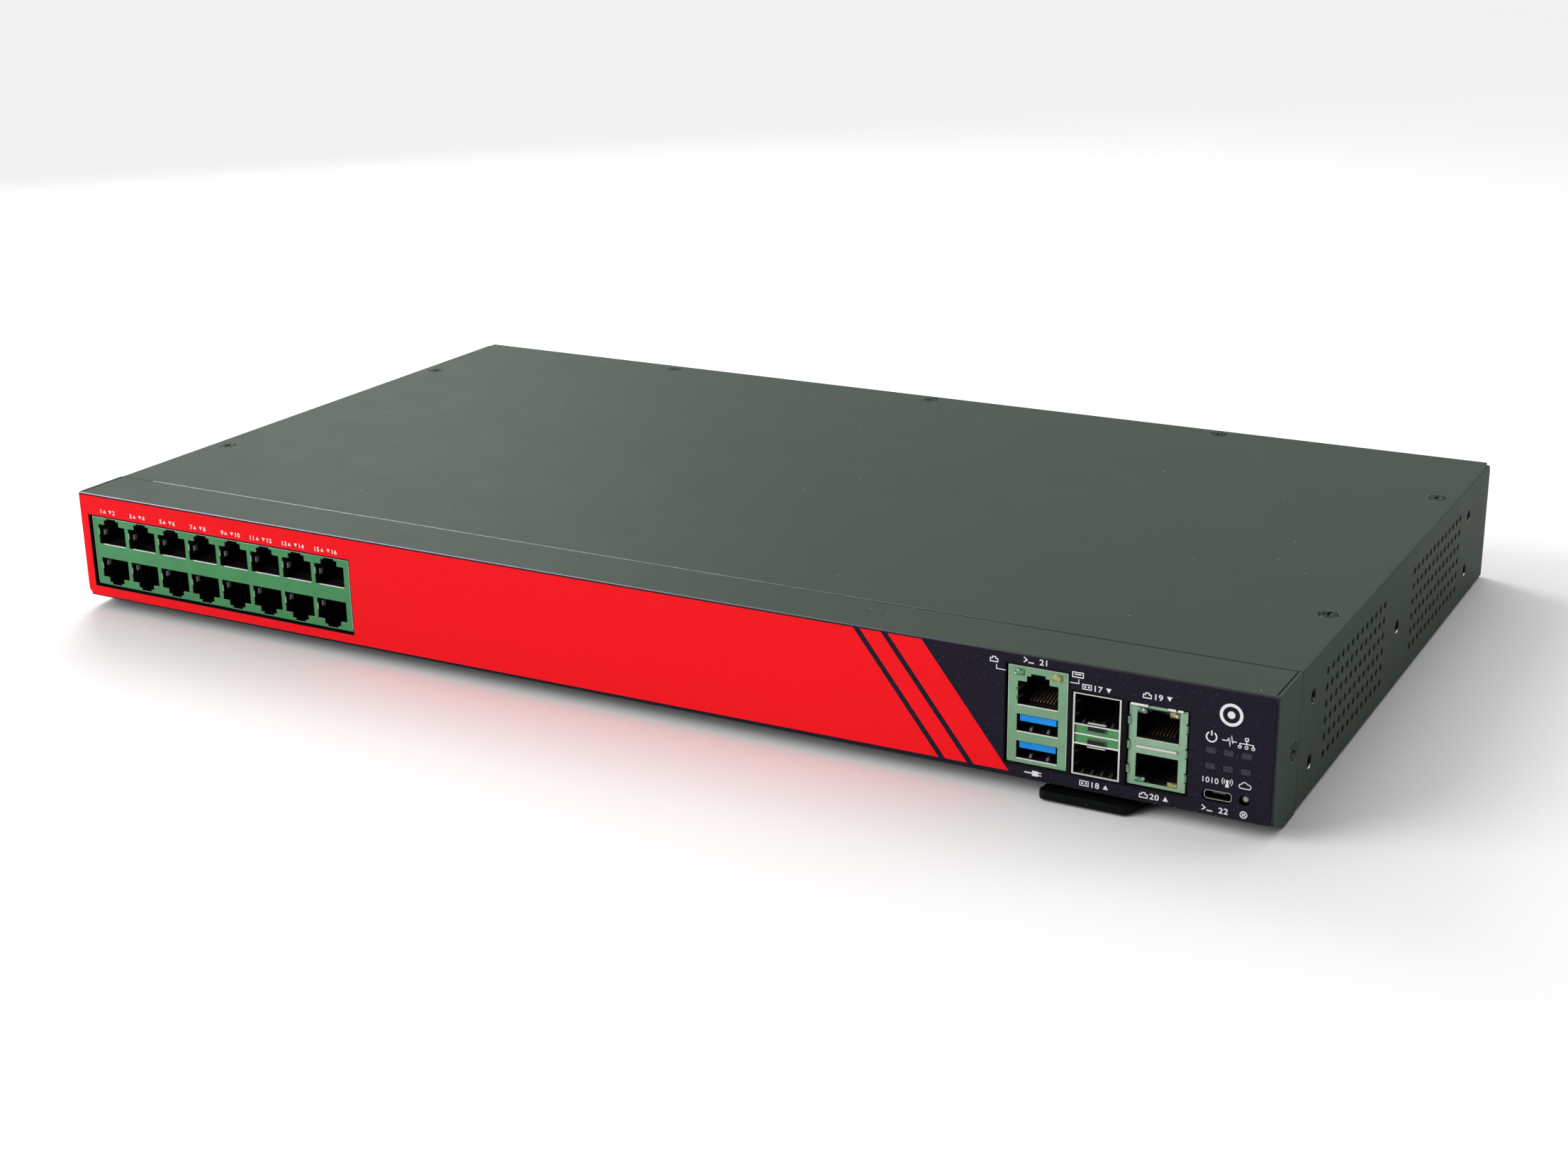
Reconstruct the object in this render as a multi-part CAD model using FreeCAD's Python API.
import FreeCAD, Part
import math
import os

# A one-rack-unit network firewall appliance, built from separate pieces.
# The frame: +X runs along the front to the right, +Y runs from the front face to
# the back, +Z is up.  The origin is the centre of the underside, on the surface
# that the appliance rests on.  All sizes are in millimetres.

V = FreeCAD.Vector
X_AXIS, Y_AXIS, Z_AXIS = V(1, 0, 0), V(0, 1, 0), V(0, 0, 1)

# ---------------------------------------------------------------- driving sizes
WIDTH = 438.0            # outer width of the case
DEPTH = 253.0            # front face to rear panel
HEIGHT = 43.0            # one rack unit less its clearance
SHEET = 1.0              # steel sheet
LABEL = 0.2              # printed overlay on the front
LABEL_MARGINS = (0.15, 0.75, 0.3, 0.8)       # left, right, below and above it
# radii of the overlay's corners, by side and by end
LABEL_CORNERS = {(-1, -1): 2.85, (-1, +1): 0.8, (+1, +1): 1.3, (+1, -1): 2.4}
SEAM = 21.3              # front strip, ahead of the lift-off cover
COVER_GAP = 0.25         # open line between the strip and the cover
FRONT_LOWER = 4.6        # lower edge of the front face above the underside
UNDERCUT = 10.5          # how far back the sloping underside starts
JOGGLE = 1.1             # how far the tray walls step in to sit inside the cover
FLANGE = 12.0            # width of the top flanges that take the cover screws
LEDGE = 8.0              # how far the front strip reaches back under the cover
TAB = 9.0                # how far the tray's walls reach forward behind the front panel
BEND = 0.7               # outside radius of the front panel's top bend
FACE_CORNER = 3.0        # radius of the front face's lower corners
STRIP_GAP = 0.4          # open line between the front strip and the side flanges
REAR_CORNER = 3.5        # radius of the cover's side at its rear top corner
SHIELD = 0.3             # tinned steel of connector shields
BOARD_TOP = 9.2          # top face of the main board
BOARD = 1.6

HALF_WIDTH = WIDTH / 2
Y_FRONT = -DEPTH / 2
Y_BACK = DEPTH / 2
WALL_OUT = HALF_WIDTH - JOGGLE
WALL_IN = WALL_OUT - SHEET
SLOPE = FRONT_LOWER / UNDERCUT

# side vents and rack-ear holes, measured back from the front face
VENT_PITCH = 5.2
VENT_RADIUS = 1.25
VENT_COLUMNS, VENT_ROWS = 13, 6
VENT_FIRST_ROW = 34.4
VENT_FIELDS = (47.8, 147.1)
EAR_ENDS = (33.5, 223.0)
EAR_MIDDLE = 128.0
EAR_HEIGHTS = (11.5, 31.5)
EAR_MIDDLE_HEIGHT = 21.5
EAR_HOLE_RADIUS = 2.3
EAR_THREAD_RADIUS = 1.65
EAR_INSERT_RADIUS, EAR_INSERT_LENGTH = 3.7, 3.0

# cover screws
SCREW_HEAD_RADIUS = 3.3
SCREW_SHANK_RADIUS = 1.6
SCREW_LENGTH = 7.0
STRIP_SCREW_LENGTH = 4.2
SCREW_EDGE = 7.0
SIDE_SCREW_ROWS = (70.6, 202.0)
BACK_SCREW_X = (-121.2, -1.2, 118.8)
BACK_SCREW_ROW = 248.0
STRIP_SCREW = (16.3, 21.0)

# front connectors: centre line, width, lowest and highest edge
JACK_PITCH = 13.97
SERIAL_COLUMNS = 8
SERIAL_CENTRE = -156.95
SERIAL_SHIELD = (SERIAL_CENTRE, 114.9, BOARD_TOP, 34.4)
CONSOLE_SHIELD = (148.7, 18.3, BOARD_TOP, 39.1)
SFP_CAGE = (166.9, 14.4, BOARD_TOP, 34.2)
NETWORK_SHIELD = (184.75, 17.1, BOARD_TOP, 33.7)
CONNECTOR_FACE = 0.7     # connector fronts sit this far behind the front face
# open lines around each connector in the front panel: left, right, below, above
CONNECTOR_GAPS = ((SERIAL_SHIELD, (0.8, 0.8, 0.7, 0.45)), (CONSOLE_SHIELD, (0.7, 0.4, 0.3, 0.3)),
                  (SFP_CAGE, (0.3, 0.3, 0.3, 0.3)), (NETWORK_SHIELD, (0.4, 0.8, 0.4, 0.7)))
JACK_DEPTH = 13.0
SERIAL_DEPTH = 28.5
HOUSING_GAP = 0.03       # half the gap between one column's moulded housing and the next
STACK_DEPTH = 29.0
SFP_DEPTH = 47.0
SFP_BAY = (13.4, 9.0)
SFP_LOWER_BAY, SFP_UPPER_BAY = 9.6, 24.9

JACK_WIDTH, JACK_HEIGHT = 12.5, 7.3
JACK_STEP_WIDTH, JACK_STEP = 7.0, 1.8
JACK_NOTCH_WIDTH, JACK_NOTCH = 4.5, 0.8
SERIAL_ROWS = ((19.3, -1), (24.4, +1))      # floor line of each row, latch direction
CONSOLE_JACK_FLOOR = 27.2
WIRES, WIRE, WIRE_PITCH = 8, 0.36, 1.02      # sprung wires on the floor of each jack
WIRE_START, WIRE_END, WIRE_RISE = 3.6, 12.0, 2.0
NETWORK_JACK_ROWS = ((18.9, -1), (23.7, +1))
NETWORK_JACK_STEPS = (1.1, 0.4)
LIGHT_DEPTH = 1.4
NETWORK_WINDOWS = ((10.2, 18.9), (23.7, 32.9))

USB_WIDTH, USB_HEIGHT = 12.8, 5.4
USB_FLOORS = (10.55, 18.95)
USB_TONGUE = (11.3, 2.25, 10.3)

# indicator windows
WINDOW_X = (200.5, 205.6, 210.7)
WINDOW_Z = (19.45, 24.2)
WINDOW_SIZE = (3.0, 2.0)

MICRO_USB = (202.9, 10.65)
MICRO_USB_SIZE = (8.0, 2.8)
ERASE = (210.7, 10.9)
ERASE_HOLE_RADIUS = 1.55
ERASE_BUTTON_RADIUS = 1.2
ERASE_TRAVEL = 0.5
ERASE_RECESS = 0.9

# pull-out information tag under the front edge
TAG_LEFT, TAG_RIGHT = 150.4, 177.2
TAG_RIGHT_BACK = 180.8
TAG_REACH = 2.6          # stands this far ahead of the front face
TAG_LOW, TAG_HIGH = 0.3, 3.0
TAG_CARD = (151.2, 180.2, 1.3, 2.7)
TAG_LENGTH = 62.0
TAG_TRAVEL = 43.0

# small notches in the lower edge of the front panel, right of the tag
DRAINS, DRAIN_FIRST, DRAIN_PITCH, DRAIN_RADIUS = 5, 185.2, 5.92, 0.55

# rear
FAN_X = (44.0, 92.0)
FAN_SIZE, FAN_DEPTH = 38.0, 20.0
FAN_HEIGHT = 21.0
FAN_BORE = 17.9
ROTOR_RADIUS = 17.3
HUB_RADIUS = 9.5
SHAFT_RADIUS = 1.5
SHAFT_CLEARANCE = 0.03
BLADES = 7
INLET = (-178.0, 21.0)
INLET_BODY = (27.2, 20.0, 21.0)
INLET_CAVITY = 16.0
ANTENNA_X = (-96.0, -72.0, -48.0, -24.0)
ANTENNA_HEIGHT = 21.0
GROUND = (-204.0, 15.0)
GROUND_NUT = 3.2
GROUND_ROOT = 2.6
ANTENNA_NUT = 2.2

os.makedirs("parts", exist_ok=True)


# ---------------------------------------------------------------- small helpers
def behind(distance):
    """The Y of a place that lies a distance behind the front face."""
    return Y_FRONT + distance


def box(x_low, x_high, y_low, y_high, z_low, z_high):
    return Part.makeBox(x_high - x_low, y_high - y_low, z_high - z_low, V(x_low, y_low, z_low))


def cylinder(radius, start, direction, length):
    return Part.makeCylinder(radius, length, start, direction)


def ring(outer, inner, start, direction, length):
    return cylinder(outer, start, direction, length).cut(cylinder(inner, start, direction, length))


def join(shapes):
    shapes = list(shapes)
    if len(shapes) == 1:
        return shapes[0]
    return shapes[0].multiFuse(shapes[1:]).removeSplitter()


def take(shape, cutters):
    return shape.cut(Part.makeCompound(list(cutters)))


def prism_x(points, x_low, x_high):
    """A solid of constant section along X; the points are (Y, Z)."""
    wire = Part.makePolygon([V(x_low, y, z) for y, z in points + points[:1]])
    return Part.Face(wire).extrude(V(x_high - x_low, 0, 0))


def prism_y(points, y_low, y_high):
    """A solid of constant section along Y; the points are (X, Z)."""
    wire = Part.makePolygon([V(x, y_low, z) for x, z in points + points[:1]])
    return Part.Face(wire).extrude(V(0, y_high - y_low, 0))


def prism_z(points, z_low, z_high):
    """A solid of constant section along Z; the points are (X, Y)."""
    wire = Part.makePolygon([V(x, y, z_low) for x, y in points + points[:1]])
    return Part.Face(wire).extrude(V(0, 0, z_high - z_low))


def edges_along(shape, axis, wanted):
    """The straight edges parallel to an axis whose middle satisfies a test."""
    found = []
    for edge in shape.Edges:
        if edge.Curve.TypeId != "Part::GeomLine":
            continue
        if abs(abs(edge.Curve.Direction.dot(axis)) - 1) > 1e-6:
            continue
        if wanted(edge.CenterOfMass):
            found.append(edge)
    return found


def soften(shape, axis, radius, wanted=lambda middle: True):
    return shape.makeFillet(radius, edges_along(shape, axis, wanted))


def save(name, pieces):
    """Write one node; a list becomes a group of separate solids."""
    if isinstance(pieces, (list, tuple)):
        solids = [solid for piece in pieces for solid in piece.Solids]
        shape = Part.makeCompound(solids)
    else:
        shape = pieces if len(pieces.Solids) != 1 else pieces.Solids[0]
    for solid in shape.Solids:
        assert solid.isValid() and solid.Volume > 0, name
    shape.exportStep("parts/" + name + ".step")
    print(f"{name:28s} {len(shape.Solids):4d} solids {shape.Volume / 1000:9.3f} cm3")


# ---------------------------------------------------------------- shared shapes
def jack_outline(centre, floor, latch, grow=0.0, steps=(JACK_STEP, JACK_NOTCH)):
    """The stepped outline of a modular jack: a flat floor and a latch notch."""
    half = JACK_WIDTH / 2 + grow
    step = JACK_STEP_WIDTH / 2 + grow
    notch = JACK_NOTCH_WIDTH / 2 + grow
    heights = (-grow, JACK_HEIGHT + grow, JACK_HEIGHT + steps[0] + grow,
               JACK_HEIGHT + steps[0] + steps[1] + grow)
    low, body, shoulder, top = (floor + latch * height for height in heights)
    return [(centre - half, low), (centre + half, low), (centre + half, body),
            (centre + step, body), (centre + step, shoulder), (centre + notch, shoulder),
            (centre + notch, top), (centre - notch, top), (centre - notch, shoulder),
            (centre - step, shoulder), (centre - step, body), (centre - half, body)]


def jack_contacts(centre, floor, latch, face):
    """Eight sprung wires that slope up from the floor of a jack."""
    wires = []
    near, far = face + WIRE_START, face + WIRE_END
    low = floor + latch * 0.25
    for index in range(WIRES):
        x = centre + (index - (WIRES - 1) / 2) * WIRE_PITCH - WIRE / 2
        section = [(near, low), (near + 0.6, low), (far, low + latch * WIRE_RISE),
                   (far, low + latch * (WIRE_RISE + WIRE)), (near, low + latch * WIRE)]
        wires.append(prism_x(section, x, x + WIRE))
    return wires


def shield_shell(centre, width, low, high, face, depth):
    """A folded steel box, open underneath, around a connector."""
    left, right = centre - width / 2, centre + width / 2
    outer = box(left, right, face, face + depth, low, high)
    inner = box(left + SHIELD, right - SHIELD, face + SHIELD, face + depth - SHIELD,
                low - SHIELD, high - SHIELD)
    return outer.cut(inner)


def countersunk_screw(head, inward, length=SCREW_LENGTH, grow=0.0):
    """A flat-head screw whose face is at 'head', pointing along 'inward'."""
    cone_depth = SCREW_HEAD_RADIUS - SCREW_SHANK_RADIUS
    cone = Part.makeCone(SCREW_HEAD_RADIUS, SCREW_SHANK_RADIUS, cone_depth, head, inward)
    shank = cylinder(SCREW_SHANK_RADIUS + grow, head, inward, length + 3 * grow)
    return cone.fuse(shank)


def screw_hole(head, inward):
    """The countersunk clearance hole that one of those screws sits in."""
    return countersunk_screw(head, inward, grow=0.1)


def cross_recess(head, inward):
    """The cross-shaped driver recess of a flat-head screw."""
    arm, width, depth = 3.4, 0.7, 0.8
    side = X_AXIS if abs(inward.z) > 0.5 else Z_AXIS
    other = inward.cross(side)
    blades = []
    for along, across in ((side, other), (other, side)):
        half = along * (arm / 2) + across * (width / 2)
        corner = head - half
        edge = [corner, corner + along * arm, corner + along * arm + across * width,
                corner + across * width, corner]
        blades.append(Part.Face(Part.makePolygon(edge)).extrude(inward * depth))
    return blades[0].fuse(blades[1])


def cover_screw_places():
    places = []
    for side in (-1, 1):
        for row in SIDE_SCREW_ROWS:
            places.append(V(side * (HALF_WIDTH - SCREW_EDGE), behind(row), HEIGHT))
    for x in BACK_SCREW_X:
        places.append(V(x, behind(BACK_SCREW_ROW), HEIGHT))
    return places


def ear_places(side, x):
    """The five rack-ear holes of one side, as points at a given distance out."""
    places = []
    for row in EAR_ENDS:
        for height in EAR_HEIGHTS:
            places.append(V(side * x, behind(row), height))
    places.append(V(side * x, behind(EAR_MIDDLE), EAR_MIDDLE_HEIGHT))
    return places


# ---------------------------------------------------------------- sheet metal
def front_openings(grow=0.0):
    """Cutters for everything that shows through the front panel and its label."""
    start, end = behind(-2.0), behind(SHEET + 0.5)
    cutters = []
    for (centre, width, low, high), (left, right, below, above) in CONNECTOR_GAPS:
        cutters.append(box(centre - width / 2 - left - grow, centre + width / 2 + right + grow,
                           start, end, low - below - grow, high + above + grow))
    half_w, half_h = WINDOW_SIZE[0] / 2 + grow, WINDOW_SIZE[1] / 2 + grow
    for x in WINDOW_X:
        for z in WINDOW_Z:
            cutters.append(box(x - half_w, x + half_w, start, end, z - half_h, z + half_h))
    slot_w, slot_h = MICRO_USB_SIZE[0] / 2 + 0.4 + grow, MICRO_USB_SIZE[1] / 2 + 0.35 + grow
    slot = box(MICRO_USB[0] - slot_w, MICRO_USB[0] + slot_w, start, end,
               MICRO_USB[1] - slot_h, MICRO_USB[1] + slot_h)
    cutters.append(soften(slot, Y_AXIS, slot_h * 0.9))
    cutters.append(cylinder(ERASE_HOLE_RADIUS + grow, V(ERASE[0], start, ERASE[1]), Y_AXIS,
                            end - start))
    return cutters


def slope_section():
    """The (Y, Z) section of the sloping sheet between the front face and the bottom."""
    lift = SHEET * math.sqrt(1 + SLOPE ** 2)
    return [(behind(0), FRONT_LOWER), (behind(UNDERCUT), 0),
            (behind(UNDERCUT + (lift - SHEET) / SLOPE), SHEET),
            (behind(SHEET), FRONT_LOWER - SLOPE * SHEET + lift)]


def side_flange(side):
    """The front panel's folded side, which lies in line with the cover's side."""
    low, high = sorted((side * (HALF_WIDTH - SHEET), side * HALF_WIDTH))
    outline = [(behind(SHEET), FRONT_LOWER - SLOPE * SHEET), (behind(UNDERCUT), 0),
               (behind(SEAM), 0), (behind(SEAM), HEIGHT), (behind(STRIP_GAP), HEIGHT),
               (behind(STRIP_GAP), HEIGHT - 4), (behind(SHEET), HEIGHT - 4)]
    return prism_x(outline, low, high)


def strip_screw_place(side):
    return V(side * HALF_WIDTH, behind(STRIP_SCREW[0]), STRIP_SCREW[1])


def front_panel():
    """Front face, top strip, sloping underside and side flanges, folded from one sheet."""
    strip_half = HALF_WIDTH - SHEET - STRIP_GAP
    inner_half = HALF_WIDTH - SHEET
    face = box(-HALF_WIDTH, HALF_WIDTH, behind(0), behind(SHEET), FRONT_LOWER, HEIGHT)
    face = soften(face, Y_AXIS, FACE_CORNER, lambda middle: middle.z < HEIGHT / 2)
    pieces = [face, prism_x(slope_section(), -inner_half, inner_half),
              box(-HALF_WIDTH, HALF_WIDTH, behind(UNDERCUT), behind(SEAM), 0, SHEET),
              box(-strip_half, strip_half, behind(0), behind(SEAM), HEIGHT - SHEET, HEIGHT),
              box(-WALL_IN + STRIP_GAP, WALL_IN - STRIP_GAP, behind(SEAM - 4),
                  behind(SEAM + LEDGE), HEIGHT - 2 * SHEET, HEIGHT - SHEET)]
    pieces += [side_flange(side) for side in (-1, 1)]
    panel = soften(join(pieces), X_AXIS, BEND,
                   lambda middle: middle.y < behind(0.01) and middle.z > HEIGHT - 0.01)
    cutters = front_openings()
    cutters += [screw_hole(strip_screw_place(side), X_AXIS * -side) for side in (-1, 1)]
    cutters.append(box(TAG_CARD[0] - 0.3, TAG_CARD[1] + 0.3, behind(2.0), behind(12.4),
                       TAG_CARD[2] - 0.25, TAG_CARD[3] + 0.3))
    for index in range(DRAINS):
        x = DRAIN_FIRST + index * DRAIN_PITCH
        cutters.append(cylinder(DRAIN_RADIUS, V(x, behind(-1), FRONT_LOWER - 0.25), Y_AXIS, 3))
    return take(panel, cutters)


def chassis_tray():
    """Bottom, side walls, top flanges and the front tabs that the front panel screws to."""
    pieces = [box(-WALL_OUT, WALL_OUT, behind(SEAM), Y_BACK, 0, SHEET)]
    cutters = []
    low_row = VENT_FIRST_ROW - VENT_PITCH * (VENT_ROWS - 1)
    span = VENT_PITCH * (VENT_COLUMNS - 1)
    for side in (-1, 1):
        low, high = sorted((side * WALL_IN, side * WALL_OUT))
        pieces.append(box(low, high, behind(SEAM), Y_BACK, 0, HEIGHT - SHEET))
        low, high = sorted((side * WALL_IN, side * (HALF_WIDTH - SHEET)))
        pieces.append(box(low, high, behind(SEAM - TAB), behind(SEAM + COVER_GAP),
                          2 * SHEET, HEIGHT - 2 * SHEET))
        low, high = sorted((side * (WALL_OUT - FLANGE), side * WALL_OUT))
        pieces.append(box(low, high, behind(SEAM + LEDGE), Y_BACK,
                          HEIGHT - 2 * SHEET, HEIGHT - SHEET))
        for place in ear_places(side, WALL_OUT + 1):
            cutters.append(cylinder(EAR_HOLE_RADIUS, place, X_AXIS * -side, 3.0))
        cutters.append(screw_hole(strip_screw_place(side), X_AXIS * -side))
        low, high = sorted((side * (WALL_IN - 1), side * (WALL_OUT + 1)))
        for field in VENT_FIELDS:
            cutters.append(box(low, high, behind(field - 3), behind(field + span + 3),
                               low_row - 3, VENT_FIRST_ROW + 3))
    cutters += [screw_hole(place, Z_AXIS * -1) for place in cover_screw_places()]
    return take(join(pieces), cutters)


def top_cover():
    """The lift-off cover: a top with two folded sides, perforated for air."""
    start = behind(SEAM + COVER_GAP)
    outer = box(-HALF_WIDTH, HALF_WIDTH, start, Y_BACK, 0.6, HEIGHT)
    outer = soften(outer, Y_AXIS, 0.8, lambda middle: middle.z > HEIGHT - 0.01)
    cover = outer.cut(box(-HALF_WIDTH + SHEET, HALF_WIDTH - SHEET, start - 1, Y_BACK + 1,
                          0, HEIGHT - SHEET))
    cutters = [screw_hole(place, Z_AXIS * -1) for place in cover_screw_places()]
    corner = REAR_CORNER
    for side in (-1, 1):
        low, high = sorted((side * (HALF_WIDTH - SHEET - 0.3), side * (HALF_WIDTH + 1)))
        square = box(low, high, Y_BACK - corner, Y_BACK + 1, HEIGHT - corner, HEIGHT + 1)
        quarter = cylinder(corner, V(low, Y_BACK - corner, HEIGHT - corner), X_AXIS, high - low)
        cutters.append(square.cut(quarter))
        inward = X_AXIS * -side
        for place in ear_places(side, HALF_WIDTH + 1):
            cutters.append(cylinder(EAR_HOLE_RADIUS, place, inward, 3.0))
        for field in VENT_FIELDS:
            for column in range(VENT_COLUMNS):
                for row in range(VENT_ROWS):
                    place = V(side * (HALF_WIDTH + 1), behind(field + column * VENT_PITCH),
                              VENT_FIRST_ROW - row * VENT_PITCH)
                    cutters.append(cylinder(VENT_RADIUS, place, inward, 3.0))
    return take(cover, cutters)


def fan_grille_holes(x):
    """Round holes in rings inside the bore of a fan."""
    holes = [cylinder(1.6, V(x, Y_BACK - 3, FAN_HEIGHT), Y_AXIS, 6)]
    for radius, count in ((4.3, 6), (8.5, 12), (12.6, 18), (16.2, 24)):
        for index in range(count):
            angle = 2 * math.pi * index / count
            centre = V(x + radius * math.cos(angle), Y_BACK - 3,
                       FAN_HEIGHT + radius * math.sin(angle))
            holes.append(cylinder(1.6 if radius < 16 else 1.3, centre, Y_AXIS, 6))
    return holes


def fan_screw_places():
    offset = FAN_SIZE / 2 - 3.0
    return [V(x + a * offset, Y_BACK, FAN_HEIGHT + b * offset)
            for x in FAN_X for a in (-1, 1) for b in (-1, 1)]


def rear_panel():
    """A flat panel with a forward flange along its top for the back screws."""
    half = WALL_IN - 0.1
    flange_half = WALL_OUT - FLANGE - 0.2
    panel = join([box(-half, half, Y_BACK - SHEET, Y_BACK, SHEET, HEIGHT - 2 * SHEET),
                  box(-flange_half, flange_half, Y_BACK - FLANGE, Y_BACK,
                      HEIGHT - 2 * SHEET, HEIGHT - SHEET)])
    cutters = [screw_hole(place, Z_AXIS * -1) for place in cover_screw_places()
               if abs(place.x) < flange_half]
    for x in FAN_X:
        cutters += fan_grille_holes(x)
    cutters += [cylinder(1.7, place - Y_AXIS * 3, Y_AXIS, 6) for place in fan_screw_places()]
    cutters.append(box(INLET[0] - INLET_BODY[0] / 2 - 0.2, INLET[0] + INLET_BODY[0] / 2 + 0.2,
                       Y_BACK - 3, Y_BACK + 3,
                       INLET[1] - INLET_BODY[1] / 2 - 0.2, INLET[1] + INLET_BODY[1] / 2 + 0.2))
    cutters += [cylinder(3.3, V(x, Y_BACK - 3, ANTENNA_HEIGHT), Y_AXIS, 6) for x in ANTENNA_X]
    cutters.append(cylinder(GROUND_ROOT + 0.1, V(GROUND[0], Y_BACK - 3, GROUND[1]), Y_AXIS, 6))
    return take(panel, cutters)


def front_label():
    """The printed overlay that covers the whole front panel."""
    left, right = -HALF_WIDTH + LABEL_MARGINS[0], HALF_WIDTH - LABEL_MARGINS[1]
    low, high = FRONT_LOWER + LABEL_MARGINS[2], HEIGHT - LABEL_MARGINS[3]
    film = box(left, right, behind(-LABEL), behind(0), low, high)
    centre = (low + high) / 2
    for (side, end), radius in LABEL_CORNERS.items():
        film = soften(film, Y_AXIS, radius,
                      lambda middle: middle.x * side > 0 and (middle.z - centre) * end > 0)
    return take(film, front_openings(0.1))


# ---------------------------------------------------------------- connectors
def serial_columns():
    first = SERIAL_CENTRE - JACK_PITCH * (SERIAL_COLUMNS - 1) / 2
    return [first + JACK_PITCH * index for index in range(SERIAL_COLUMNS)]


def serial_jacks():
    return [(x, floor, latch) for x in serial_columns() for floor, latch in SERIAL_ROWS]


def cut_jacks(body, jacks, start, end, grow, steps=(JACK_STEP, JACK_NOTCH)):
    return take(body, [prism_y(jack_outline(x, floor, latch, grow, steps), start, end)
                       for x, floor, latch in jacks])


def build_serial_ports():
    centre, width, low, high = SERIAL_SHIELD
    face = behind(CONNECTOR_FACE)
    shell = shield_shell(centre, width, low, high, face, SERIAL_DEPTH)
    save("serial_port_shield", cut_jacks(shell, serial_jacks(), face - 1, face + 1, 0.0))
    housings = []
    half = JACK_PITCH / 2 - HOUSING_GAP
    for x in serial_columns():
        body = box(x - half, x + half, face + SHIELD, face + SERIAL_DEPTH - SHIELD,
                   low, high - SHIELD)
        jacks = [(x, floor, latch) for floor, latch in SERIAL_ROWS]
        housings.append(cut_jacks(body, jacks, face, face + JACK_DEPTH, 0.12))
    save("serial_port_housing", housings)
    wires = [wire for jack in serial_jacks() for wire in jack_contacts(*jack, face)]
    save("serial_port_contacts", wires)


def usb_opening(centre, floor, start, end, grow=0.0):
    return box(centre - USB_WIDTH / 2 - grow, centre + USB_WIDTH / 2 + grow, start, end,
               floor - grow, floor + USB_HEIGHT + grow)


def build_console_stack():
    centre, width, low, high = CONSOLE_SHIELD
    face = behind(CONNECTOR_FACE - 0.4)
    jack = [(centre, CONSOLE_JACK_FLOOR, +1)]
    lights = [port_light(centre + side * 5.8, 37.2, face - 0.1, 3.2, 1.5) for side in (-1, 1)]
    shell = shield_shell(centre, width, low, high, face, STACK_DEPTH)
    shell = cut_jacks(shell, jack, face - 1, face + 1, 0.0)
    shell = take(shell, [usb_opening(centre, floor, face - 1, face + 1) for floor in USB_FLOORS])
    save("console_stack_shield", take(shell, lights))
    body = box(centre - width / 2 + SHIELD, centre + width / 2 - SHIELD, face + SHIELD,
               face + STACK_DEPTH - SHIELD, low, high - SHIELD)
    body = cut_jacks(body, jack, face, face + JACK_DEPTH, 0.12)
    body = take(body, [usb_opening(centre, floor, face, face + 11.0, 0.12) for floor in USB_FLOORS])
    save("console_stack_housing", take(body, lights))
    save("console_jack_contacts", jack_contacts(*jack[0], face))
    tongue_width, tongue_height, tongue_length = USB_TONGUE
    tongues, strips = [], []
    for floor in USB_FLOORS:
        top = floor + USB_HEIGHT - 0.3
        start, end = face + 11.0 - tongue_length, face + 11.0
        tongue = box(centre - tongue_width / 2, centre + tongue_width / 2, start, end,
                     top - tongue_height, top)
        tongues.append(soften(tongue, X_AXIS, 0.4, lambda middle: middle.y < start + 0.01))
        for index in range(4):
            x = centre + (index - 1.5) * 2.3
            strips.append(box(x - 0.5, x + 0.5, start + 1.2, end, top - tongue_height - 0.15,
                              top - tongue_height))
    save("usb_tongues", tongues)
    save("usb_contacts", strips)
    return lights


def port_light(x, z, face, width, height):
    """A small coloured light beside a jack."""
    return box(x - width / 2, x + width / 2, face, face + LIGHT_DEPTH,
               z - height / 2, z + height / 2)


def build_network_ports():
    centre, width, low, high = NETWORK_SHIELD
    face = behind(CONNECTOR_FACE)
    jacks = [(centre, floor, latch) for floor, latch in NETWORK_JACK_ROWS]
    lights = {}
    for side in (-1, 1):
        lights[side] = [port_light(centre + side * 4.75, z, face + 0.05, 2.8, 1.3)
                        for z in (11.0, 32.0)]
    windows = [box(centre - 6.25, centre + 6.25, face - 1, face + 1, low_edge, high_edge)
               for low_edge, high_edge in NETWORK_WINDOWS]
    shell = take(shield_shell(centre, width, low, high, face, STACK_DEPTH), windows)
    rib = box(centre - 6.0, centre + 6.0, face - 0.25, face, 20.5, 21.7)
    rib = soften(rib, Y_AXIS, 0.5)
    save("network_port_shield", join([shell, rib]))
    body = box(centre - width / 2 + SHIELD, centre + width / 2 - SHIELD, face + SHIELD,
               face + STACK_DEPTH - SHIELD, low, high - SHIELD)
    body = cut_jacks(body, jacks, face, face + JACK_DEPTH, -0.15, NETWORK_JACK_STEPS)
    body = take(body, lights[-1] + lights[1])
    save("network_port_housing", body)
    wires = [wire for jack in jacks for wire in jack_contacts(*jack, face)]
    save("network_port_contacts", wires)
    return lights


def build_port_lights():
    console = build_console_stack()
    network = build_network_ports()
    save("green_port_lights", [console[0]] + network[-1])
    save("amber_port_lights", [console[1]] + network[1])


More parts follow.
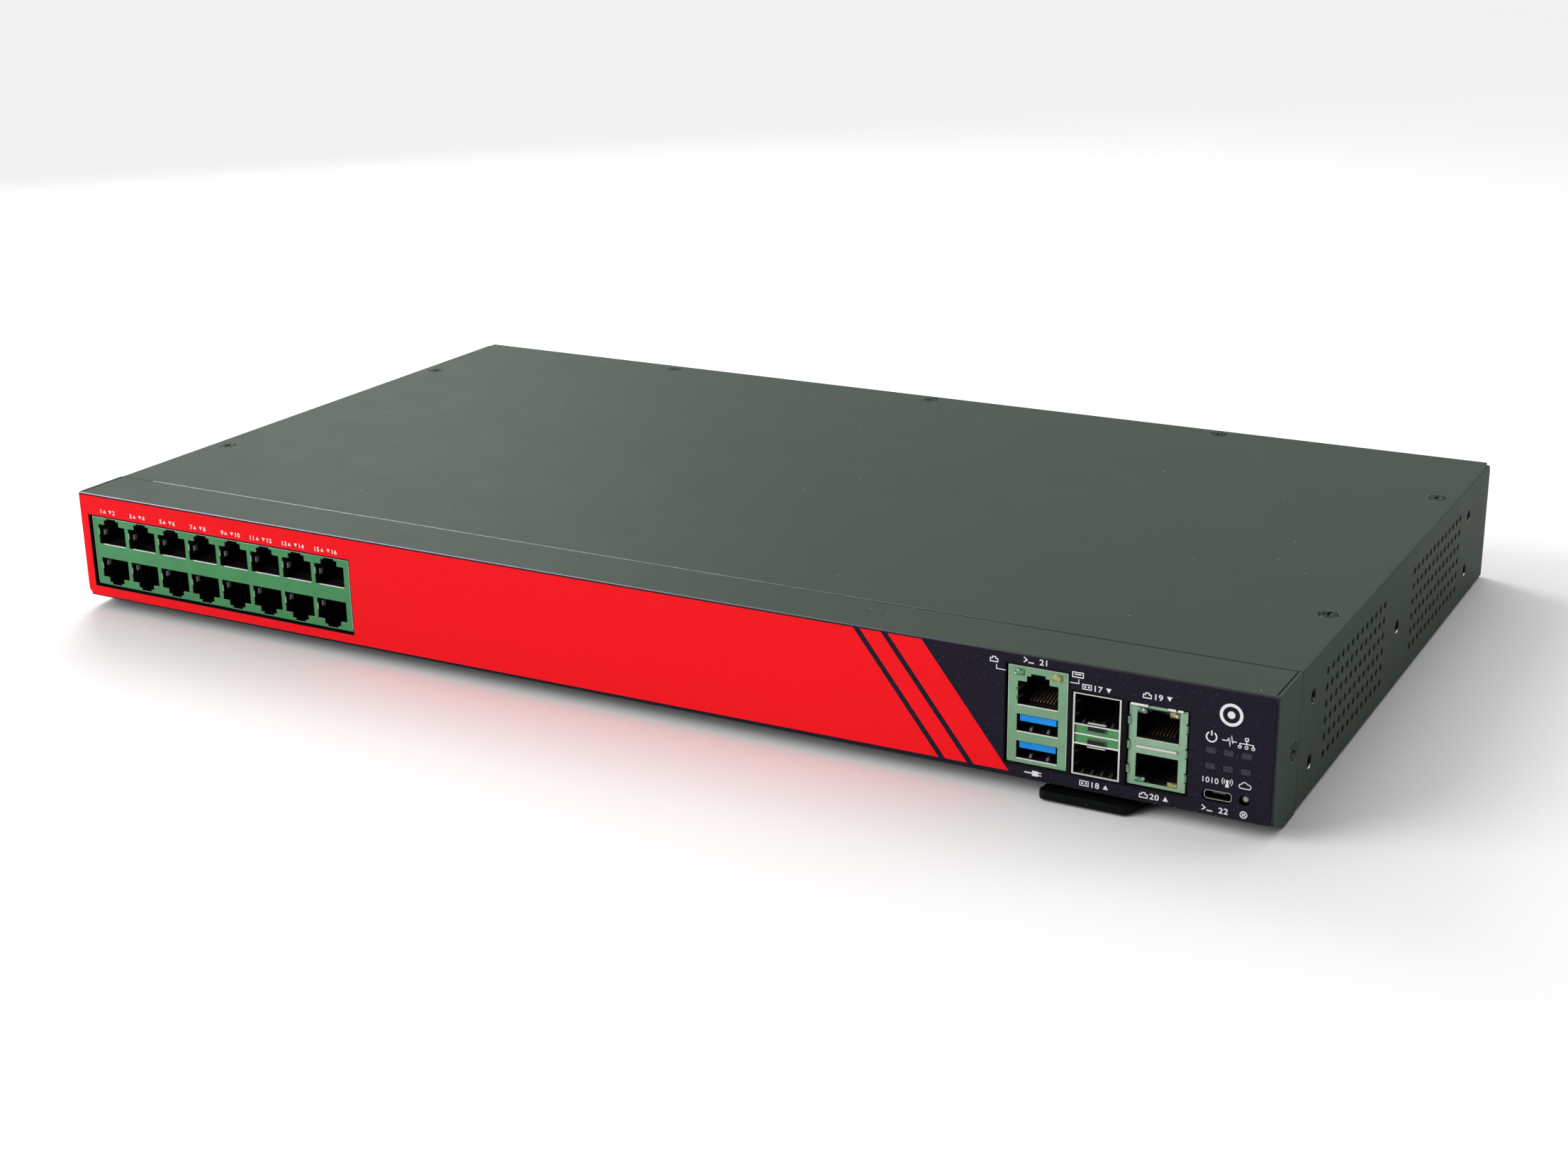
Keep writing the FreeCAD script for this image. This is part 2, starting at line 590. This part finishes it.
def build_fibre_cage():
    """A stacked cage with two bays for plug-in optical modules."""
    centre, width, low, high = SFP_CAGE
    face = behind(-0.15)
    bay_width, bay_height = SFP_BAY
    outer = box(centre - width / 2, centre + width / 2, face, face + SFP_DEPTH, low, high)
    cutters = []
    for floor in (SFP_LOWER_BAY, SFP_UPPER_BAY):
        cutters.append(box(centre - bay_width / 2, centre + bay_width / 2, face - 1,
                           face + SFP_DEPTH - SHIELD, floor, floor + bay_height))
    web_low, web_high = SFP_LOWER_BAY + bay_height + SHIELD, SFP_UPPER_BAY - SHIELD
    cutters.append(box(centre - bay_width / 2, centre + bay_width / 2, face - 1,
                       face + SFP_DEPTH - SHIELD, web_low, web_high))
    save("fibre_cage", take(outer, cutters))
    middle = (web_low + web_high) / 2
    web = box(centre - bay_width / 2 + 0.1, centre + bay_width / 2 - 0.1, face + 0.5, face + 30,
              web_low, web_high)
    groove = box(centre - bay_width / 2, centre + bay_width / 2, face, face + 0.9,
                 middle - 0.15, middle + 0.15)
    notches = [box(centre - 2.7, centre + 2.7, face, face + 5, web_high - 1.3, web_high),
               box(centre - 2.7, centre + 2.7, face, face + 5, web_low, web_low + 1.3)]
    save("fibre_cage_web", take(web, [groove] + notches))
    sockets = []
    for floor in (SFP_LOWER_BAY, SFP_UPPER_BAY):
        socket = box(centre - 6.2, centre + 6.2, face + 37, face + SFP_DEPTH - SHIELD,
                     floor, floor + 6.5)
        sockets.append(socket.cut(box(centre - 4.6, centre + 4.6, face + 36, face + 44,
                                      floor + 2.2, floor + 3.8)))
    save("fibre_host_sockets", sockets)


def build_status_lights():
    half_w, half_h = WINDOW_SIZE[0] / 2, WINDOW_SIZE[1] / 2
    pipes = []
    for x in WINDOW_X:
        for z in WINDOW_Z:
            pipes.append(box(x - half_w, x + half_w, behind(-LABEL), behind(5.0),
                             z - half_h, z + half_h))
    save("status_light_windows", pipes)
    carrier = box(WINDOW_X[0] - 2.6, WINDOW_X[-1] + 2.6, behind(5.0), behind(7.0),
                  WINDOW_Z[0] - 3.4, WINDOW_Z[-1] + 3.0)
    leg = box(MICRO_USB[0] - 3.0, MICRO_USB[0] + 3.0, behind(6.4), behind(7.0),
              BOARD_TOP, WINDOW_Z[0] - 3.4)
    save("status_light_board", join([carrier, leg]))


def build_micro_usb():
    width, height = MICRO_USB_SIZE
    x, z = MICRO_USB
    start, end = behind(0.5), behind(6.2)
    outer = box(x - width / 2, x + width / 2, start, end, z - height / 2, z + height / 2)
    outer = soften(outer, Y_AXIS, 0.9)
    inner = box(x - width / 2 + 0.25, x + width / 2 - 0.25, start - 1, end - 0.4,
                z - height / 2 + 0.25, z + height / 2 - 0.25)
    inner = soften(inner, Y_AXIS, 0.7)
    save("micro_usb_shell", outer.cut(inner))
    save("micro_usb_tongue", box(x - 1.9, x + 1.9, behind(1.8), behind(5.8), z + 0.05, z + 0.65))


def build_erase_button():
    """A recessed push button that runs in the bore of its switch."""
    x, z = ERASE
    start = V(x, behind(ERASE_RECESS), z)
    length = 5.3
    stem = cylinder(ERASE_BUTTON_RADIUS, start, Y_AXIS, length)
    rim = [edge for edge in stem.Edges if edge.CenterOfMass.y < start.y + 0.01]
    save("erase_button", stem.makeFillet(0.7, rim))
    body = box(x - 2.9, x + 2.9, behind(4.2), behind(9.0), BOARD_TOP, z + 2.3)
    bore = cylinder(ERASE_BUTTON_RADIUS + 0.05, V(x, behind(4.0), z), Y_AXIS,
                    ERASE_RECESS + length + ERASE_TRAVEL + 0.2 - 4.0)
    save("erase_switch", body.cut(bore))


# ---------------------------------------------------------------- pull-out tag
def build_tag():
    """A flat plastic card with a finger grip, sliding in a channel under the board."""
    limit = FRONT_LOWER - 0.3
    groove = 0.4
    section = [(behind(-TAG_REACH), TAG_LOW), (behind(8.6), TAG_LOW),
               (behind(8.6), limit - SLOPE * 8.6), (behind(4.4), limit - SLOPE * 4.4),
               (behind(groove), limit - SLOPE * 4.4), (behind(groove), TAG_HIGH),
               (behind(-TAG_REACH), TAG_HIGH)]
    grip = prism_x(section, TAG_LEFT - 1, TAG_RIGHT_BACK + 6)
    lean = (TAG_RIGHT_BACK - TAG_RIGHT) / 10.4
    plan = [(TAG_LEFT, behind(-TAG_REACH)), (TAG_RIGHT, behind(-TAG_REACH)),
            (TAG_RIGHT + lean * 11.2, behind(8.6)), (TAG_LEFT, behind(8.6))]
    outline = prism_z(plan, 0, 5)
    outline = soften(outline, Z_AXIS, 2.0, lambda middle: middle.y < behind(-TAG_REACH + 0.1))
    grip = grip.common(outline)
    grip = soften(grip, X_AXIS, 0.35,
                  lambda middle: middle.y < behind(-TAG_REACH + 0.1))
    left, right, low, high = TAG_CARD
    card = box(left, right, behind(5.0), behind(TAG_LENGTH), low, high)
    stops = box(left - 0.9, right + 0.9, behind(TAG_LENGTH - 4), behind(TAG_LENGTH), low, high)
    save("pull_out_tag", join([grip, card, stops]))
    far = TAG_LENGTH + 12
    near = TAG_LENGTH - 4 - TAG_TRAVEL - 0.5
    outer = box(left - 2.4, right + 2.4, behind(near - 2.5), behind(far), SHEET, high + 1.3)
    channel = box(left - 1.2, right + 1.2, behind(near), behind(far + 1), SHEET - 1, high + 0.3)
    mouth = box(left - 0.3, right + 0.3, behind(near - 4), behind(near + 1), SHEET - 1, high + 0.3)
    save("tag_guide", take(outer, [channel, mouth]))


# ---------------------------------------------------------------- fasteners
def build_fasteners():
    down = Z_AXIS * -1
    save("cover_screws", [countersunk_screw(place, down).cut(cross_recess(place, down))
                          for place in cover_screw_places()])
    screws = []
    for side in (-1, 1):
        place, inward = strip_screw_place(side), X_AXIS * -side
        screw = countersunk_screw(place, inward, STRIP_SCREW_LENGTH)
        screws.append(screw.cut(cross_recess(place, inward)))
    save("side_screws", screws)
    inserts = []
    for side in (-1, 1):
        for place in ear_places(side, WALL_IN):
            inserts.append(ring(EAR_INSERT_RADIUS, EAR_THREAD_RADIUS, place, X_AXIS * -side,
                                EAR_INSERT_LENGTH))
    save("ear_thread_inserts", inserts)


# ---------------------------------------------------------------- inside
BOARD_OUTLINE = [(-212.5, 2.2), (212.5, 2.2), (212.5, 165.0), (-95.0, 165.0),
                 (-95.0, 80.0), (-212.5, 80.0)]
STANDOFFS = [(-208, 45), (-208, 74), (-102, 74), (-88, 158), (60, 158), (208, 158),
             (208, 60), (120, 60), (0, 60), (-88, 20), (20, 20), (120, 20)]


def build_main_board():
    bottom = BOARD_TOP - BOARD
    outline = [(x, behind(y)) for x, y in BOARD_OUTLINE]
    board = prism_z(outline, bottom, BOARD_TOP)
    holes = [cylinder(1.6, V(x, behind(y), bottom - 1), Z_AXIS, 4) for x, y in STANDOFFS]
    save("main_board", take(board, holes))
    posts, screws = [], []
    for x, y in STANDOFFS:
        foot = V(x, behind(y), SHEET)
        posts.append(ring(3.0, 1.3, foot, Z_AXIS, bottom - SHEET))
        head = cylinder(2.8, V(x, behind(y), BOARD_TOP), Z_AXIS, 1.8)
        shank = cylinder(1.25, V(x, behind(y), bottom - 3), Z_AXIS, BOARD_TOP - bottom + 3)
        screws.append(head.fuse(shank))
    save("board_standoffs", posts)
    save("board_screws", screws)


def build_board_parts():
    chip = box(60, 87, behind(96), behind(123), BOARD_TOP, BOARD_TOP + 2.4)
    save("processor", chip)
    base = box(50, 97, behind(86), behind(133), BOARD_TOP + 2.4, BOARD_TOP + 6.0)
    fins = [box(50 + index * 3.9, 51.2 + index * 3.9, behind(86), behind(133),
                BOARD_TOP + 6.0, BOARD_TOP + 22.0) for index in range(13)]
    legs = [cylinder(1.6, V(x, behind(y), BOARD_TOP), Z_AXIS, 2.4)
            for x, y in ((53, 89), (94, 89), (53, 130), (94, 130))]
    save("processor_heatsink", join([base] + fins + legs))
    memory = box(-20, 48, behind(140), behind(146), BOARD_TOP, BOARD_TOP + 5.2)
    memory = memory.cut(box(-18, 46, behind(139), behind(144), BOARD_TOP + 2.2, BOARD_TOP + 3.4))
    sockets = [memory,
               box(109, 133, behind(74), behind(80), BOARD_TOP, BOARD_TOP + 5.5),
               box(-81, -49, behind(84), behind(90), BOARD_TOP, BOARD_TOP + 5.5)]
    save("card_sockets", sockets)
    card = box(-17.6, 45.6, behind(114), behind(143.8), BOARD_TOP + 2.2, BOARD_TOP + 3.4)
    chips = [box(-14 + i * 15, -2 + i * 15, behind(122), behind(134),
                 BOARD_TOP + 3.4, BOARD_TOP + 4.4) for i in range(4)]
    save("memory_module", join([card] + chips))
    storage = box(110, 132, behind(80), behind(160), BOARD_TOP + 3.0, BOARD_TOP + 3.8)
    flash = box(112, 130, behind(100), behind(116), BOARD_TOP + 3.8, BOARD_TOP + 5.2)
    save("storage_module", join([storage, flash]))
    modem = box(-80, -50, behind(90), behind(141), BOARD_TOP + 3.0, BOARD_TOP + 4.0)
    can = box(-78, -52, behind(96), behind(134), BOARD_TOP + 4.0, BOARD_TOP + 6.4)
    save("cellular_modem", join([modem, can]))
    holder = ring(11.5, 10.2, V(160, behind(110), BOARD_TOP), Z_AXIS, 4.2)
    floor = cylinder(11.5, V(160, behind(110), BOARD_TOP), Z_AXIS, 0.9)
    save("clock_battery_holder", join([holder, floor]))
    save("clock_battery", cylinder(10.0, V(160, behind(110), BOARD_TOP + 0.9), Z_AXIS, 3.2))


PSU = (-212.0, -112.0, 92.0, 222.0)


def build_power_supply():
    """An open-frame supply in its own folded tray, behind the serial ports."""
    left, right, near, far = PSU
    tray = box(left, right, behind(near), behind(far), SHEET, 33.0)
    tray = tray.cut(box(left + SHEET, right - SHEET, behind(near - 1), behind(far + 1),
                        SHEET + SHEET, 34.0))
    posts = [cylinder(2.5, V(x, behind(y), 2 * SHEET), Z_AXIS, 6.4 - 2 * SHEET)
             for x in (left + 8, right - 8) for y in (near + 9, far - 9)]
    save("power_supply_tray", join([tray] + posts))
    board = box(left + 3, right - 3, behind(near + 3), behind(far - 3), 6.4, 8.0)
    save("power_supply_board", board)
    save("transformer", box(-175, -143, behind(140), behind(172), 8.0, 30.0))
    cans = [cylinder(9.0, V(-195, behind(118), 8.0), Z_AXIS, 24.0),
            cylinder(5.0, V(-124, behind(185), 8.0), Z_AXIS, 20.0),
            cylinder(5.0, V(-124, behind(200), 8.0), Z_AXIS, 20.0)]
    save("power_capacitors", cans)
    plate = box(-134, -131, behind(115), behind(175), 8.0, 31.0)
    save("power_heat_plate", plate)


def build_inlet():
    """A mains inlet with a shroud, three blades and a snap-in flange."""
    width, height, depth = INLET_BODY
    x, z = INLET
    body = box(x - width / 2, x + width / 2, Y_BACK - depth, Y_BACK, z - height / 2, z + height / 2)
    flange = box(x - width / 2 - 1.6, x + width / 2 + 1.6, Y_BACK, Y_BACK + 2.0,
                 z - height / 2 - 1.6, z + height / 2 + 1.6)
    flange = soften(flange, Y_AXIS, 2.0)
    cavity = prism_y([(x - 12, z - 8), (x + 12, z - 8), (x + 12, z + 3), (x + 7, z + 8),
                      (x - 7, z + 8), (x - 12, z + 3)], Y_BACK - INLET_CAVITY, Y_BACK + 3)
    save("mains_inlet", body.fuse(flange).removeSplitter().cut(cavity))
    blades = [box(x + dx - 1.0, x + dx + 1.0, Y_BACK - INLET_CAVITY, Y_BACK - 1.0,
                  z + dz - 2.0, z + dz + 2.0)
              for dx, dz in ((-7, -1.5), (0, 2.5), (7, -1.5))]
    save("mains_inlet_blades", blades)


def hexagon(x, z, reach):
    """The (X, Z) corners of a hexagon whose corners reach a given distance."""
    return [(x + reach * math.cos(math.pi / 3 * k), z + reach * math.sin(math.pi / 3 * k))
            for k in range(6)]


def build_antenna_ports():
    shells, nuts, cores = [], [], []
    for x in ANTENNA_X:
        back = V(x, Y_BACK, ANTENNA_HEIGHT)
        barrel = cylinder(3.15, back - Y_AXIS * (SHEET + 3), Y_AXIS, SHEET + 3 + ANTENNA_NUT)
        barrel = barrel.fuse(cylinder(3.1, back + Y_AXIS * ANTENNA_NUT, Y_AXIS, 7.3))
        collar = cylinder(4.6, back - Y_AXIS * (SHEET + 2.5), Y_AXIS, 2.5)
        bore = cylinder(2.3, back + Y_AXIS * 3, Y_AXIS, 8)
        shells.append(barrel.fuse(collar).removeSplitter().cut(bore))
        cores.append(cylinder(0.6, back + Y_AXIS * 3, Y_AXIS, 5.5))
        nut = prism_y(hexagon(x, ANTENNA_HEIGHT, 4.6), Y_BACK, Y_BACK + ANTENNA_NUT)
        nuts.append(nut.cut(cylinder(3.15, back - Y_AXIS, Y_AXIS, 5)))
    save("antenna_ports", shells)
    save("antenna_port_cores", cores)
    save("antenna_port_nuts", nuts)


def build_ground_stud():
    x, z = GROUND
    back = V(x, Y_BACK, z)
    head = cylinder(4.0, back - Y_AXIS * (SHEET + 2.0), Y_AXIS, 2.0)
    root = cylinder(GROUND_ROOT, back - Y_AXIS * SHEET, Y_AXIS, SHEET + GROUND_NUT)
    free_end = cylinder(2.0, back + Y_AXIS * GROUND_NUT, Y_AXIS, 8.8)
    save("ground_stud", join([head, root, free_end]))
    nut = prism_y(hexagon(x, z, 4.6), Y_BACK, Y_BACK + GROUND_NUT)
    save("ground_nut", nut.cut(cylinder(GROUND_ROOT, back - Y_AXIS, Y_AXIS, 6)))


def fan_rotor(x):
    """Hub, shaft and swept blades, turning about a line along Y."""
    front = Y_BACK - SHEET - FAN_DEPTH
    hub = cylinder(HUB_RADIUS, V(x, front + 1.5, FAN_HEIGHT), Y_AXIS, 12.5)
    shaft = cylinder(SHAFT_RADIUS, V(x, front + 14.0, FAN_HEIGHT), Y_AXIS, 3.5)
    blades = []
    for index in range(BLADES):
        angle = 360.0 * index / BLADES
        blade = box(-0.6, 0.6, -5.5, 5.5, HUB_RADIUS - 1.0, ROTOR_RADIUS)
        blade.rotate(V(0, 0, 0), Z_AXIS, 38)
        blade.rotate(V(0, 0, 0), Y_AXIS, angle)
        blade.translate(V(x, front + 7.75, FAN_HEIGHT))
        blades.append(blade)
    sweep = cylinder(ROTOR_RADIUS, V(x, front + 1.0, FAN_HEIGHT), Y_AXIS, 14)
    return join([hub, shaft] + [blade.common(sweep) for blade in blades])


def fan_frame(x):
    """A square frame with a round duct, four struts and the motor cup."""
    front, back = Y_BACK - SHEET - FAN_DEPTH, Y_BACK - SHEET
    half = FAN_SIZE / 2
    frame = box(x - half, x + half, front, back, FAN_HEIGHT - half, FAN_HEIGHT + half)
    frame = soften(frame, Y_AXIS, 2.5)
    frame = frame.cut(cylinder(FAN_BORE, V(x, front - 1, FAN_HEIGHT), Y_AXIS, FAN_DEPTH + 2))
    cup = cylinder(HUB_RADIUS, V(x, back - 5.0, FAN_HEIGHT), Y_AXIS, 5.0)
    reach = FAN_BORE + 0.5
    struts = [box(x - reach, x + reach, back - 3.0, back, FAN_HEIGHT - 1, FAN_HEIGHT + 1),
              box(x - 1, x + 1, back - 3.0, back, FAN_HEIGHT - reach, FAN_HEIGHT + reach)]
    frame = join([frame, cup] + struts)
    holes = [cylinder(SHAFT_RADIUS + SHAFT_CLEARANCE, V(x, back - 6, FAN_HEIGHT), Y_AXIS, 4.5)]
    offset = half - 3.0
    for a in (-1, 1):
        for b in (-1, 1):
            holes.append(cylinder(1.5, V(x + a * offset, front - 1, FAN_HEIGHT + b * offset),
                                  Y_AXIS, FAN_DEPTH + 2))
    return take(frame, holes)


def build_fans():
    for name, x in zip(("left", "right"), FAN_X):
        save("fan_frame_" + name, fan_frame(x))
        save("fan_rotor_" + name, fan_rotor(x))
    screws = []
    for place in fan_screw_places():
        head = cylinder(2.9, place, Y_AXIS, 1.6)
        shank = cylinder(1.45, place - Y_AXIS * 9, Y_AXIS, 9)
        screws.append(head.fuse(shank))
    save("fan_screws", screws)


def main():
    save("chassis_tray", chassis_tray())
    save("front_panel", front_panel())
    save("top_cover", top_cover())
    save("rear_panel", rear_panel())
    save("front_label", front_label())
    build_serial_ports()
    build_port_lights()
    build_fibre_cage()
    build_status_lights()
    build_micro_usb()
    build_erase_button()
    build_tag()
    build_fasteners()
    build_main_board()
    build_board_parts()
    build_power_supply()
    build_inlet()
    build_antenna_ports()
    build_ground_stud()
    build_fans()


main()
